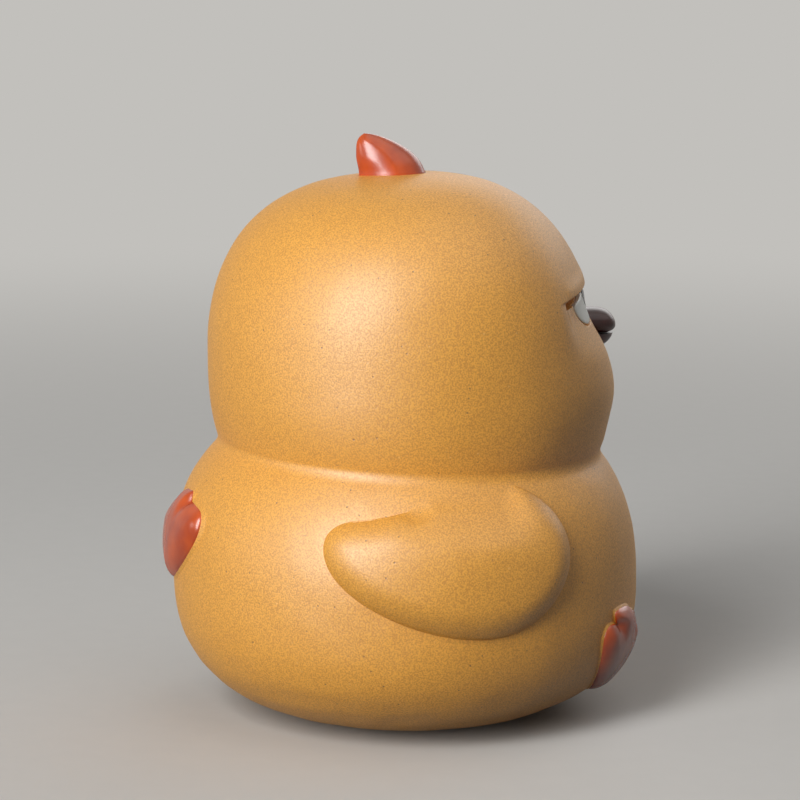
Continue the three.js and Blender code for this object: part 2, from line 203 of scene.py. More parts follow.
def part_from(name, grid, hoop):
    """A closed mesh from a grid of points in millimetres. A hoop runs round along its columns and
    is closed over its first and last rows; any other grid runs round along its rows."""
    index = np.arange(grid.shape[0] * grid.shape[1]).reshape(grid.shape[:2])
    if hoop:
        ends = [index[0].tolist(), index[-1].tolist()]
        index = np.hstack([index, index[:, :1]])
    else:
        ends = [index[:, 0].tolist(), index[:, -1].tolist()]
        index = np.vstack([index, index[:1]])
    corners = [index[:-1, :-1], index[:-1, 1:], index[1:, 1:], index[1:, :-1]]
    quads = np.stack(corners, axis=-1).reshape(-1, 4).tolist()
    mesh = bpy.data.meshes.new(name)
    mesh.from_pydata((grid.reshape(-1, 3) * MM).tolist(), [], quads + ends)
    form = bmesh.new()
    form.from_mesh(mesh)
    bmesh.ops.remove_doubles(form, verts=form.verts, dist=0.0005 * MM)
    bmesh.ops.recalc_face_normals(form, faces=form.faces)
    form.to_mesh(mesh)
    form.free()
    mesh.shade_smooth()
    mesh.set_sharp_from_angle(angle=math.radians(40))
    made = bpy.data.objects.new(name, mesh)
    bpy.context.scene.collection.objects.link(made)
    return made


def body_half(side):
    """One mould half: its outer face, the shelf at the neck, the lining and the seat of the base."""
    azimuth = np.linspace(0.0, math.pi, BODY_COLUMNS)
    top = neck_line(body_point, azimuth)
    climb = (1 - np.cos(np.linspace(0.0, math.pi, BODY_ROWS))) / 2
    height = climb[:, None] * top[None, :]
    around = np.broadcast_to(azimuth, height.shape)
    outer = body_point(around, height)
    normal = outward(body_point, around, np.clip(height, 0.01, None))
    free = np.clip(height / 1.5, 0, 1) * np.clip((top - height) / 2.0, 0, 1)
    outer = outer + wiped_slip(outer) + normal * (body_finish(outer) * free)[..., None]

    def ring(radius, level):
        x = radius * np.sin(azimuth)
        y = -radius * np.cos(azimuth)
        return np.stack(np.broadcast_arrays(x, y, level), axis=-1)[None]

    def brought_in(points, height):
        flat = points * [1, 1, 0]
        flat[:, 1] -= lean_at(height)
        return points - flat / np.linalg.norm(flat, axis=-1, keepdims=True) * WALL

    shelf = brought_in(outer[-1], top) - [0, 0, 0.05]
    levels = [top * share for share in np.linspace(0.93, 0.14, 10)]
    lining = [brought_in(body_point(azimuth, level), level) for level in levels]
    grid = np.concatenate([
        ring(BASE_OPENING_RADIUS, 0.0), outer, shelf[None], np.stack(lining),
        ring(BASE_LEDGE_RADIUS, BASE_SEAT_HEIGHT + 1.0),
        ring(BASE_LEDGE_RADIUS, BASE_SEAT_HEIGHT),
        ring(BASE_OPENING_RADIUS, BASE_SEAT_HEIGHT)])
    grid[..., 0] *= side
    return part_from("body_left" if side == LEFT else "body_right", grid, hoop=False)


def linear(code):
    """An sRGB hex colour as a linear colour with full alpha."""
    shares = [int(code[i:i + 2], 16) / 255 for i in (1, 3, 5)]
    return [s / 12.92 if s <= 0.04045 else ((s + 0.055) / 1.055) ** 2.4 for s in shares] + [1.0]


def add(tree, kind, inputs, **settings):
    """Adds a node with its settings, and sets or links its inputs."""
    node = tree.nodes.new(kind)
    for name, value in settings.items():
        setattr(node, name, value)
    for name, value in inputs.items():
        if isinstance(value, bpy.types.NodeSocket):
            tree.links.new(value, node.inputs[name])
        else:
            node.inputs[name].default_value = value
    return node


def blank_material(name):
    """A new material with an empty node tree."""
    material = bpy.data.materials.new(name)
    material.use_nodes = True
    material.node_tree.nodes.clear()
    return material, material.node_tree


# Ochre stoneware, burnished with a wet finger while leather-hard and fired bare. The rubbing gives a
# broad satin sheen, and the sand in it shows as a faint grain about 0.2 mm wide, with a few pale
# specks and iron pits. The IOR, above the 1.5 of fired clay, was matched to that sheen.
MOTTLE_SIZE = 7.0
SAND_SIZE = 0.17
SPECK_SPACING = 0.9
PIT_SPACING = 1.0
SPOT_CORE, SPOT_RIM = 0.06, 0.12
SAND_LOW, SAND_HIGH = 0.3, 0.7
SAND_HEIGHT = 0.014
clay, tree = blank_material("ochre_stoneware_burnished")
place = add(tree, "ShaderNodeTexCoord", {}).outputs["Object"]
mottle = add(tree, "ShaderNodeTexNoise", {
    "Vector": place, "Scale": 1 / (MOTTLE_SIZE * MM), "Detail": 2.0})
sand = add(tree, "ShaderNodeTexNoise", {
    "Vector": place, "Scale": 1 / (SAND_SIZE * MM), "Detail": 0.0})
speck = add(tree, "ShaderNodeTexVoronoi", {"Vector": place, "Scale": 1 / (SPECK_SPACING * MM)})
pit = add(tree, "ShaderNodeTexVoronoi", {"Vector": place, "Scale": 1 / (PIT_SPACING * MM)})
speck_kind = add(tree, "ShaderNodeSeparateColor", {"Color": speck.outputs["Color"]})
pit_kind = add(tree, "ShaderNodeSeparateColor", {"Color": pit.outputs["Color"]})
speck_spot = add(tree, "ShaderNodeMapRange", {
    "Value": speck.outputs["Distance"], 1: SPOT_CORE, 2: SPOT_RIM, 3: 1.0, 4: 0.0})
pit_spot = add(tree, "ShaderNodeMapRange", {
    "Value": pit.outputs["Distance"], 1: SPOT_CORE, 2: SPOT_RIM, 3: 1.0, 4: 0.0})
speck_some = add(tree, "ShaderNodeMapRange", {
    "Value": speck_kind.outputs["Red"], 1: 0.6, 2: 1.0, 3: 0.0, 4: 0.6})
pit_some = add(tree, "ShaderNodeMapRange", {
    "Value": pit_kind.outputs["Red"], 1: 0.45, 2: 0.95, 3: 0.0, 4: 0.9})
speck_here = add(tree, "ShaderNodeMath", {
    0: speck_spot.outputs[0], 1: speck_some.outputs[0]}, operation="MULTIPLY")
pit_here = add(tree, "ShaderNodeMath", {
    0: pit_spot.outputs[0], 1: pit_some.outputs[0]}, operation="MULTIPLY")
hue = add(tree, "ShaderNodeMix", {
    0: mottle.outputs["Fac"], 6: linear("#e8a536"), 7: linear("#f0ad3d")}, data_type="RGBA")
grain = add(tree, "ShaderNodeMapRange", {
    "Value": sand.outputs["Fac"], 1: SAND_LOW, 2: SAND_HIGH, 3: 1.0, 4: 0.0})
hue = add(tree, "ShaderNodeMix", {
    0: grain.outputs[0], 6: hue.outputs[2], 7: linear("#cb8928")}, data_type="RGBA")
hue = add(tree, "ShaderNodeMix", {
    0: speck_here.outputs[0], 6: hue.outputs[2], 7: linear("#f0c887")}, data_type="RGBA")
hue = add(tree, "ShaderNodeMix", {
    0: pit_here.outputs[0], 6: hue.outputs[2], 7: linear("#6a421c")}, data_type="RGBA")
satin = add(tree, "ShaderNodeMapRange", {
    "Value": sand.outputs["Fac"], 1: SAND_LOW, 2: SAND_HIGH, 3: 0.54, 4: 0.48})
raised = add(tree, "ShaderNodeMath", {
    0: speck_here.outputs[0], 1: 0.6, 2: sand.outputs["Fac"]}, operation="MULTIPLY_ADD")
raised = add(tree, "ShaderNodeMath", {
    0: pit_here.outputs[0], 1: -1.5, 2: raised.outputs[0]}, operation="MULTIPLY_ADD")
bump = add(tree, "ShaderNodeBump", {
    "Height": raised.outputs[0], "Distance": SAND_HEIGHT * MM, "Strength": 1.0})
finish = add(tree, "ShaderNodeBsdfPrincipled", {
    "Base Color": hue.outputs[2], "Roughness": satin.outputs[0], "IOR": 2.0,
    "Normal": bump.outputs["Normal"]})
add(tree, "ShaderNodeOutputMaterial", {"Surface": finish.outputs["BSDF"]})

for side, node in ((LEFT, "body_left_half"), (RIGHT, "body_right_half")):
    made = body_half(side)
    made.data.materials.append(clay)
    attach(made, "root")
    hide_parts(node)

# The base disc closes the body from below. It is cut from a rolled sheet of the same clay, with a
# vent that lets the air out in the kiln, and is luted into the base ring.
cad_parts["base_disc"].data.materials.clear()
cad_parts["base_disc"].data.materials.append(clay)

# The wings are leaf-shaped pads of the same clay, modelled by hand and luted to the flanks. The
# lower and front edges stand proud with a soft foot; the top is smeared up into the shoulder.
WING_LENGTH = 28.7
WING_HEIGHT = 15.45
WING_RELIEF = 2.35
WING_EDGE = 3.6
WING_SMEAR_TOP = 8.1
WING_SMEAR_FRONT = 8.0
WING_SMEAR_BACK = 5.0
WING_MELT = 3.0
WING_SHOULDER_DROP = 0.3
WING_ANGLE = math.radians(91.2)
WING_MIDDLE = NECK_HEIGHT - 0.8 - WING_HEIGHT / 2
WING_OUTLINE = [
    [(0.5, 0.13), (0.5, 0.24), (0.44, 0.29), (0.37, 0.3)],
    [(0.37, 0.3), (0.19, 0.33), (-0.08, 0.5), (-0.24, 0.5)],
    [(-0.24, 0.5), (-0.39, 0.5), (-0.5, 0.3), (-0.5, 0.09)],
    [(-0.5, 0.09), (-0.5, -0.21), (-0.33, -0.5), (-0.12, -0.5)],
    [(-0.12, -0.5), (0.14, -0.5), (0.5, -0.19), (0.5, 0.13)],
]


def drawn(curves, width, height, steps):
    """Evenly spaced points along Bezier curves that are given in shares of a width and height."""
    turn = np.linspace(0.0, 1.0, 60, endpoint=False)[:, None]
    fine = []
    for start, first, second, end in np.array(curves) * [width, height]:
        fine.append((1 - turn) ** 3 * start + 3 * turn * (1 - turn) ** 2 * first
                    + 3 * turn ** 2 * (1 - turn) * second + turn ** 3 * end)
    fine = np.concatenate(fine)
    fine = np.vstack([fine, fine[:1]])
    along = np.concatenate([[0.0], np.cumsum(np.linalg.norm(np.diff(fine, axis=0), axis=-1))])
    even = np.linspace(0.0, along[-1], steps, endpoint=False)
    return np.stack([np.interp(even, along, fine[:, i]) for i in (0, 1)], axis=-1)


def laid(surface, finish, azimuth, height, outline, rings, top, under, droop=0.0):
    """A pad laid on a curved surface, as rings of points from its middle out and round to its back.
    Top gives the lift of its face, from the share of the way out to the rim and the place on the
    outline's plane; under is the lift of its back."""
    centre = surface(np.array(azimuth), np.array(height))
    radius = math.hypot(centre[0], centre[1])
    share = np.sin(np.linspace(0.0, math.pi / 2, rings))
    share = np.concatenate([share, [1.0, 0.8]])[:, None]
    along = share * outline[None, :, 0]
    up = share * outline[None, :, 1]
    lift = top(np.broadcast_to(share, along.shape), along, up)
    lift[-2:] = under
    around = azimuth + along / radius
    grid = surface(around, height + up)
    grid = grid + outward(surface, around, height + up) * (lift + finish(grid))[..., None]
    grid[..., 2] -= droop * lift
    return grid


def smooth(value):
    """An easy rise from nothing to one."""
    value = np.clip(value, 0.0, 1.0)
    return value * value * (3 - 2 * value)


def rim_distance(outline, along, up):
    """Millimetres from places on an outline's plane to the outline."""
    place = np.stack([along, up], axis=-1)[..., None, :]
    return np.linalg.norm(place - outline, axis=-1).min(axis=-1)


def pillow(distance, edge):
    """How much of its full height a plump pad has at a distance from its rim, over a soft edge."""
    outward_share = np.clip(1 - distance / edge, 0.0, 1.0)
    return (1 - outward_share ** 2.2) ** 0.75


wing_outline = drawn(WING_OUTLINE, WING_LENGTH, WING_HEIGHT, 200)
wing_smear = smooth((WING_SMEAR_BACK - wing_outline[:, 0]) / 2.0)
wing_smear = wing_smear * smooth((wing_outline[:, 0] + WING_SMEAR_FRONT) / 2.0)
wing_smear = wing_smear * smooth(wing_outline[:, 1] / 3.0)
wing_outline[:, 1] += wing_smear * (WING_SMEAR_TOP - wing_outline[:, 1])
free_rim = wing_outline[wing_smear < 0.3]
smeared_rim = wing_outline[wing_smear >= 0.3]


def wing_top(share, along, up):
    """The lift of a wing's face: plump at its free rim, thinning to nothing in the shoulder."""
    edge = pillow(rim_distance(free_rim, along, up), WING_EDGE)
    dome = 1 - 0.3 * ((2 * along / WING_LENGTH) ** 2 + (2 * up / WING_HEIGHT) ** 2)
    under_smear = smooth((WING_SMEAR_BACK + 2.5 - along) / 5.0)
    under_smear = under_smear * smooth((along + WING_SMEAR_FRONT + 2.5) / 4.5)
    fade = 1 - under_smear * (1 - smooth((WING_SMEAR_TOP - up) / 7.0))
    melted = smooth(rim_distance(smeared_rim, along, up) / WING_MELT)
    shoulder = 1 - WING_SHOULDER_DROP * smooth(up / 7.0) * smooth((4.0 - along) / 6.0)
    return WING_RELIEF * edge * dome * fade * melted * shoulder - 0.03


for side, name in ((LEFT, "wing_left"), (RIGHT, "wing_right")):
    grid = laid(
        body_point, body_finish, WING_ANGLE, WING_MIDDLE, wing_outline, 40, wing_top, -0.6)
    made = part_from(name + "_clay", grid * [side, 1, 1], hoop=True)
    made.data.materials.append(clay)
    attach(made, "root")
    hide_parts(name)

# The tail is a three-lobed pad of clay on the back, melted into the body at its rim. Its domed face
# is brushed with red glaze up to a bare edge, and the glaze has pooled to a thick coat in the kiln.
TAIL_HEIGHT = 10.6
TAIL_MIDDLE = NECK_HEIGHT - 4.0 - TAIL_HEIGHT / 2
TAIL_BULGE = 1.05
TAIL_SLANT = 1.4
TAIL_GLAZED = 0.893
TAIL_HALF = [
    [(0.0, -4.93), (1.8, -4.15), (4.7, -2.6), (6.95, -0.35)],
    [(6.95, -0.35), (8.2, 0.9), (8.85, 2.1), (8.7, 3.1)],
    [(8.7, 3.1), (8.5, 4.15), (7.7, 4.5), (6.6, 4.65)],
    [(6.6, 4.65), (5.5, 4.8), (4.5, 5.0), (3.9, 4.95)],
    [(3.9, 4.95), (3.6, 5.3), (3.3, 5.7), (3.1, 6.05)],
    [(3.1, 6.05), (2.0, 6.0), (1.0, 5.95), (0.0, 5.9)],
]
TAIL_CREASE = [(3.5, 4.4), (1.9, 2.0)]
LOBE_EDGE = 0.2
LOBE_CURVE = 2.6
CREASE_DEPTH = 0.2
CREASE_WIDTH = 0.45
GLAZE_THICKNESS = 0.3


def lobed_pair(name, azimuth, height, side, half, glazed, bulge, crease, slant):
    """A lobed clay pad with creases between its lobes and its inner top lower by a slant, and the
    glaze on its face."""
    curves = half + [[(-x, y) for x, y in reversed(curve)] for curve in reversed(half)]
    outline = drawn(curves, 1.0, 1.0, 180)
    outline[:, 1] -= slant * smooth((0.3 - outline[:, 0]) / 3.0) * smooth(outline[:, 1] / 3.5)
    start, run = np.array(crease[0]), np.array(crease[1]) - np.array(crease[0])

    def dome(along, up):
        """How far the face rises over the glaze's edge, as a share of its bulge."""
        plump = pillow(rim_distance(outline * glazed, along, up), LOBE_CURVE)
        place = np.stack([np.abs(along), up], axis=-1) - start
        way = np.clip(place @ run / (run @ run), 0.0, 1.0)
        aside = np.linalg.norm(place - way[..., None] * run, axis=-1)
        return plump - CREASE_DEPTH * (1 - way) * np.exp(-(aside / CREASE_WIDTH) ** 2)

    def clay_top(share, along, up):
        bare = LOBE_EDGE * smooth((1 - share) / (1 - glazed))
        covered = np.where(share < glazed, dome(along, up), 0.0)
        return bare + (bulge - GLAZE_THICKNESS) * covered - 0.03

    def glaze_top(share, along, up):
        return LOBE_EDGE + bulge * np.maximum(dome(along, up), 0.0)

    clay_pad = laid(body_point, body_finish, azimuth, height, outline, 36, clay_top, -0.4)
    coat = laid(body_point, body_finish, azimuth, height, outline * glazed, 36, glaze_top, 0.0)
    return (part_from(name + "_clay", clay_pad * [side, 1, 1], hoop=True),
            part_from(name + "_coat", coat * [side, 1, 1], hoop=True))


# Red glaze, brushed on thick and fired glossy. It runs thin to orange where it is stretched, and
# pools to a deeper red, with a faint ripple that wavers its reflections. The IOR is at the upper end
# for glazes and was matched to the bright reflection on the comb.
POOL_SIZE = 2.5
RIPPLE_SIZE = 1.2
RIPPLE_HEIGHT = 0.012
red_glaze, tree = blank_material("red_glaze_brushed_and_fired")
place = add(tree, "ShaderNodeTexCoord", {}).outputs["Object"]
pooling = add(tree, "ShaderNodeTexNoise", {
    "Vector": place, "Scale": 1 / (POOL_SIZE * MM), "Detail": 2.0})
ripple = add(tree, "ShaderNodeTexNoise", {
    "Vector": place, "Scale": 1 / (RIPPLE_SIZE * MM), "Detail": 1.0})
depth = add(tree, "ShaderNodeMapRange", {"Value": pooling.outputs["Fac"], 1: 0.35, 2: 0.65})
hue = add(tree, "ShaderNodeMix", {
    0: depth.outputs[0], 6: linear("#ae3c00"), 7: linear("#c64d01")}, data_type="RGBA")
bump = add(tree, "ShaderNodeBump", {
    "Height": ripple.outputs["Fac"], "Distance": RIPPLE_HEIGHT * MM, "Strength": 1.0})
finish = add(tree, "ShaderNodeBsdfPrincipled", {
    "Base Color": hue.outputs[2], "Roughness": 0.25, "IOR": 1.7, "Normal": bump.outputs["Normal"]})
add(tree, "ShaderNodeOutputMaterial", {"Surface": finish.outputs["BSDF"]})

tail_pair = lobed_pair(
    "tail", math.pi, TAIL_MIDDLE, LEFT, TAIL_HALF, TAIL_GLAZED, TAIL_BULGE, TAIL_CREASE, TAIL_SLANT)
for made, node, slot, material in zip(
        tail_pair, ("tail", "tail_glaze"), ("clay", "red_glaze"), (clay, red_glaze)):
    made.data.materials.append(material)
    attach(made, "root")
    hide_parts(node)

# The feet are smaller pads like the tail, with the toes up and the heel towards the ground, luted
# low on the front of the body and glazed in the same way.
FOOT_HEIGHT = 10.2
FOOT_ANGLE = math.radians(35.4)
FOOT_MIDDLE = 3.6 + FOOT_HEIGHT / 2
FOOT_BULGE = 1.0
FOOT_SLANT = 1.2
FOOT_GLAZED = 0.935
FOOT_HALF = [
    [(0.0, -5.1), (2.2, -5.1), (4.9, -2.2), (5.5, 1.4)],
    [(5.5, 1.4), (5.75, 2.9), (5.1, 3.75), (4.2, 3.75)],
    [(4.2, 3.75), (3.5, 3.75), (3.0, 3.7), (2.75, 3.4)],
    [(2.75, 3.4), (3.3, 3.9), (3.6, 4.6), (3.4, 5.0)],
    [(3.4, 5.0), (2.4, 5.35), (1.0, 5.2), (0.0, 5.1)],
]
FOOT_CREASE = [(2.6, 3.2), (1.5, 1.4)]
for side, name in ((LEFT, "foot_left"), (RIGHT, "foot_right")):
    foot_pair = lobed_pair(
        name, FOOT_ANGLE, FOOT_MIDDLE, side,
        FOOT_HALF, FOOT_GLAZED, FOOT_BULGE, FOOT_CREASE, FOOT_SLANT)
    for made, node, slot, material in zip(
            foot_pair, (name, name + "_glaze"), ("clay", "red_glaze"), (clay, red_glaze)):
        made.data.materials.append(material)
        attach(made, "root")
        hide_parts(node)

# The head is a round hollow loaf of the same clay, pressed in two halves like the body and luted to
# the neck. Round each eye the face is pressed in to a shallow hollow, which is cut sharply under the
# brow and runs out into the cheek, with a groove round the place of the eye.
EYE_WIDTH = 9.2
EYE_HEIGHT = 3.9
EYE_SHIFT = 1.4
EYE_ANGLE = math.radians(28.0)
EYE_RISE = 16.3
EYE_TILT = math.radians(6.5)
EYE_CURVE = 2.4
EYE_CORNER = 0.8
LID_LINE = 0.9
BROW_LINE = 1.8
HOLLOW_DEPTH = 0.86
GROOVE_DEPTH = 0.6
GROOVE_WIDTH = 0.34
BROW_CUT = 0.25
BROW_RAISE = 0.1
FOLD_DEPTH = 0.14
BROW_SLOT_DEPTH = 1.5
HEAD_COLUMNS = 220
HEAD_ROWS = 200


def gathered(start, end, count, *places):
    """Steps from start to end that lie closer together around places: each a middle, a spread and
    how much closer."""
    fine = np.linspace(start, end, 4000)
    weight = 1 + sum(
        extra * np.exp(-((fine - middle) / spread) ** 2) for middle, spread, extra in places)
    weight = np.cumsum(weight)
    weight = (weight - weight[0]) / (weight[-1] - weight[0])
    return np.interp(np.linspace(0.0, 1.0, count), weight, fine)


def inside_lid(across, up):
    """Millimetres inside the eye's outline: a straight lid line over a rounded lower edge."""
    below = LID_LINE - up
    tall = LID_LINE + EYE_HEIGHT / 2
    sideways = np.abs((across + EYE_SHIFT) / (EYE_WIDTH / 2))
    share = (sideways ** EYE_CURVE + np.abs(below / tall) ** EYE_CURVE) ** (1 / EYE_CURVE)
    curved = (1 - share) * tall
    corner = np.clip(1 - np.abs(below - curved) / EYE_CORNER, 0.0, None)
    return np.minimum(below, curved) - corner ** 2 * EYE_CORNER / 4


def eye_hollow(along, up):
    """How deep the face is pressed in round an eye, at millimetres along and up from the eye."""
    upright = along * math.sin(EYE_TILT) + up * math.cos(EYE_TILT)
    under_brow = smooth(0.5 + (BROW_LINE - upright) / BROW_CUT)
    outer = under_brow * smooth((8.5 - along) / 4.0) * smooth((up + 6.0) / 6.5)
    bridge = np.exp(-((up + 1.0) / 2.6) ** 2)
    return HOLLOW_DEPTH * (bridge + (outer - bridge) * smooth((along + 5.5) / 3.5))


def eye_relief(along, up):
    """How far the face round an eye stands off the head's plain form: a raised brow, the hollow,
    the groove round the eye, the slot under the brow and a fold beside the outer corner."""
    across = along * math.cos(EYE_TILT) - up * math.sin(EYE_TILT)
    upright = along * math.sin(EYE_TILT) + up * math.cos(EYE_TILT)
    groove = GROOVE_DEPTH * smooth(0.5 + (inside_lid(across, upright) + GROOVE_WIDTH / 2) / 0.14)
    slot = smooth(0.5 + (BROW_LINE - upright) / BROW_CUT) * smooth((upright - BROW_LINE + 0.9) / 0.2)
    slot = BROW_SLOT_DEPTH * slot * smooth((6.3 - across) / 1.2) * smooth((across + 6.0) / 1.5)
    brow = BROW_RAISE * np.exp(-((upright - BROW_LINE - 0.8) / 0.7) ** 2)
    brow = brow * smooth((7.0 - along) / 1.7) * smooth((along + 10.0) / 2.5)
    fold = FOLD_DEPTH * np.exp(-((along - 6.2) / 0.28) ** 2)
    fold = fold * smooth((up + 2.6) / 1.6) * smooth((1.0 - up) / 0.8)
    return brow - eye_hollow(along, up) - np.maximum(groove, slot) - fold


def head_finish(points):
    """How uneven the hand-finished head is at its points."""
    return hand_made(points, 9.0, 0.1) + hand_made(points, 3.0, 0.03)


def head_half(side):
    """One mould half: its outer face with the eye's hollow, the lining and the seat at the neck.
    The mesh is finest round the eye, at the neck and at the crown."""
    azimuth = gathered(0.0, math.pi, HEAD_COLUMNS, (EYE_ANGLE, 0.25, 4.0))
    low = neck_line(lambda turn, height: head_point(turn, height - NECK_HEIGHT), azimuth)
    low = low - NECK_HEIGHT
    climb = gathered(
        0.0, 1.0, HEAD_ROWS, (0.0, 0.04, 4.0), (EYE_RISE / HEAD_HEIGHT, 0.09, 2.6), (1.0, 0.03, 10.0))
    rise = low + climb[:, None] * (HEAD_HEIGHT - low)
    around = np.broadcast_to(azimuth, rise.shape)
    outer = head_point(around, rise)
    normal = outward(head_point, around, np.clip(rise, None, HEAD_HEIGHT - 0.02))
    normal[-1] = (0, 0, 1)
    centre = head_point(np.array(EYE_ANGLE), np.array(EYE_RISE))
    along = (around - EYE_ANGLE) * math.hypot(centre[0], centre[1])
    relief = eye_relief(along, rise - EYE_RISE)
    free = np.clip((rise - low) / 2.0, 0, 1) * np.clip((1 - climb) / 0.02, 0, 1)[:, None]
    outer = outer + wiped_slip(outer) + normal * (relief + head_finish(outer) * free)[..., None]
    middle = np.array([0, 0, NECK_HEIGHT])
    kept = 1 - WALL / (HEAD_WIDTH / 2)
    seat = outer[0] * [kept, kept, 1] + [0, 0, 0.05]
    rises = [share * HEAD_HEIGHT for share in np.linspace(1.0, 0.12, 12)]
    lining = [(head_point(azimuth, inner) - middle) * kept + middle for inner in rises]
    grid = np.concatenate([outer, np.stack(lining), seat[None]])
    grid[..., 0] *= side
    return part_from("head_left" if side == LEFT else "head_right", grid, hoop=False)


for side, node in ((LEFT, "head_left_half"), (RIGHT, "head_right_half")):
    made = head_half(side)
    made.data.materials.append(clay)
    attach(made, "root")
    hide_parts(node)

# The eyes are half-rounds of white clay with a straight lid line, inlaid in the hollows with a fine
# dark groove round them and the outer corner down. Each carries a black pupil towards the beak.
PUPIL_DIAMETER = 1.8
PUPIL_SHIFT = 3.7
PUPIL_RAISE = 0.1
ROUND_OUTLINE = [
    [(0.5, 0.0), (0.5, 0.276), (0.276, 0.5), (0.0, 0.5)],
    [(0.0, 0.5), (-0.276, 0.5), (-0.5, 0.276), (-0.5, 0.0)],
    [(-0.5, 0.0), (-0.5, -0.276), (-0.276, -0.5), (0.0, -0.5)],
    [(0.0, -0.5), (0.276, -0.5), (0.5, -0.276), (0.5, 0.0)],
]


def tilted(points):
    """Points of the upright eye, turned so that the outer corner is down."""
    across, up = points[..., 0], points[..., 1]
    along = across * math.cos(EYE_TILT) + up * math.sin(EYE_TILT)
    return np.stack([along, up * math.cos(EYE_TILT) - across * math.sin(EYE_TILT)], axis=-1)


def eye_outline(steps):
    """Points where the eye's outline is met, going out from its middle in even turns."""
    turn = np.linspace(0.0, 2 * math.pi, steps, endpoint=False)
    near, far = np.zeros_like(turn), np.full_like(turn, EYE_WIDTH)
    for _ in range(40):
        reach = (near + far) / 2
        inside = inside_lid(reach * np.cos(turn), reach * np.sin(turn)) > 0
        near = np.where(inside, reach, near)
        far = np.where(inside, far, reach)
    return np.stack([near * np.cos(turn), near * np.sin(turn)], axis=-1)


def eye_top(share, along, up):
    """The lift of an eye's face: just over the floor of the hollow, rounded off at its rim."""
    return 0.04 - eye_hollow(along, up) - 0.22 * (1 - swell(share, 1.0, 5.0))


pupil_place = tilted(np.array([-PUPIL_SHIFT, PUPIL_RAISE]))


def pupil_top(share, along, up):
    """The lift of a pupil's face: a low dot on the white of the eye."""
    floor_here = eye_hollow(along + pupil_place[0], up + pupil_place[1])
    return 0.05 - floor_here + 0.05 * swell(share, 1.0, 2.5)


# White stoneware slip, rubbed smooth and fired bare: a satin surface that is never quite white,
# with faint grey clouds and fine sand in it.
WHITE_CLOUD_SIZE = 1.5
WHITE_SAND_SIZE = 0.2
WHITE_SAND_HEIGHT = 0.008
white_clay, tree = blank_material("white_slip_rubbed_and_fired")
place = add(tree, "ShaderNodeTexCoord", {}).outputs["Object"]
cloud = add(tree, "ShaderNodeTexNoise", {
    "Vector": place, "Scale": 1 / (WHITE_CLOUD_SIZE * MM), "Detail": 3.0})
sand = add(tree, "ShaderNodeTexNoise", {
    "Vector": place, "Scale": 1 / (WHITE_SAND_SIZE * MM), "Detail": 1.0})
hue = add(tree, "ShaderNodeMix", {
    0: cloud.outputs["Fac"], 6: linear("#ebebe2"), 7: linear("#f7f7ef")}, data_type="RGBA")
bump = add(tree, "ShaderNodeBump", {
    "Height": sand.outputs["Fac"], "Distance": WHITE_SAND_HEIGHT * MM, "Strength": 1.0})
finish = add(tree, "ShaderNodeBsdfPrincipled", {
    "Base Color": hue.outputs[2], "Roughness": 0.4, "IOR": 1.52, "Normal": bump.outputs["Normal"]})
add(tree, "ShaderNodeOutputMaterial", {"Surface": finish.outputs["BSDF"]})

# Black stoneware slip, dotted on with a brush tip: near black, with a satin shine and brown clouds.
BLACK_CLOUD_SIZE = 0.6
black_clay, tree = blank_material("black_slip_dotted_and_fired")
place = add(tree, "ShaderNodeTexCoord", {}).outputs["Object"]
cloud = add(tree, "ShaderNodeTexNoise", {
    "Vector": place, "Scale": 1 / (BLACK_CLOUD_SIZE * MM), "Detail": 2.0})
hue = add(tree, "ShaderNodeMix", {
    0: cloud.outputs["Fac"], 6: linear("#141211"), 7: linear("#2a221e")}, data_type="RGBA")
finish = add(tree, "ShaderNodeBsdfPrincipled", {
    "Base Color": hue.outputs[2], "Roughness": 0.25, "IOR": 1.52})
add(tree, "ShaderNodeOutputMaterial", {"Surface": finish.outputs["BSDF"]})

centre = head_point(np.array(EYE_ANGLE), np.array(EYE_RISE))
pupil_angle = EYE_ANGLE + pupil_place[0] / math.hypot(centre[0], centre[1])
pupil_rise = EYE_RISE + pupil_place[1]
white_outline = tilted(eye_outline(96))
pupil_outline = drawn(ROUND_OUTLINE, PUPIL_DIAMETER, PUPIL_DIAMETER, 48)
for side, name in ((LEFT, "left"), (RIGHT, "right")):
    grid = laid(head_point, head_finish, EYE_ANGLE, EYE_RISE, white_outline, 14, eye_top, -1.35)
    made = part_from("eye_" + name + "_white", grid * [side, 1, 1], hoop=True)
    made.data.materials.append(white_clay)
    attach(made, "root")
    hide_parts("eye_" + name)
    grid = laid(
        head_point, head_finish, pupil_angle, pupil_rise, pupil_outline, 10, pupil_top, -1.0)
    made = part_from("pupil_" + name + "_black", grid * [side, 1, 1], hoop=True)
    made.data.materials.append(black_clay)
    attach(made, "root")
    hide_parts("pupil_" + name)

# The beak is two small domes of clay, one over the other, luted to the middle of the face and flat
# where they meet at the mouth. Both are dipped in a dark maroon glaze.
MOUTH_RISE = 11.9
MOUTH_GAP = 0.08
BEAK_DROOP = 0.27

# Maroon glaze, dipped and fired glossy: almost black, and wine red where light gets into it.
MAROON_POOL_SIZE = 1.2
maroon_glaze, tree = blank_material("maroon_glaze_dipped_and_fired")
place = add(tree, "ShaderNodeTexCoord", {}).outputs["Object"]
pooling = add(tree, "ShaderNodeTexNoise", {
    "Vector": place, "Scale": 1 / (MAROON_POOL_SIZE * MM), "Detail": 2.0})
hue = add(tree, "ShaderNodeMix", {
    0: pooling.outputs["Fac"], 6: linear("#300d07"), 7: linear("#4f170f")}, data_type="RGBA")
finish = add(tree, "ShaderNodeBsdfPrincipled", {
    "Base Color": hue.outputs[2], "Roughness": 0.3, "IOR": 1.52})
add(tree, "ShaderNodeOutputMaterial", {"Surface": finish.outputs["BSDF"]})

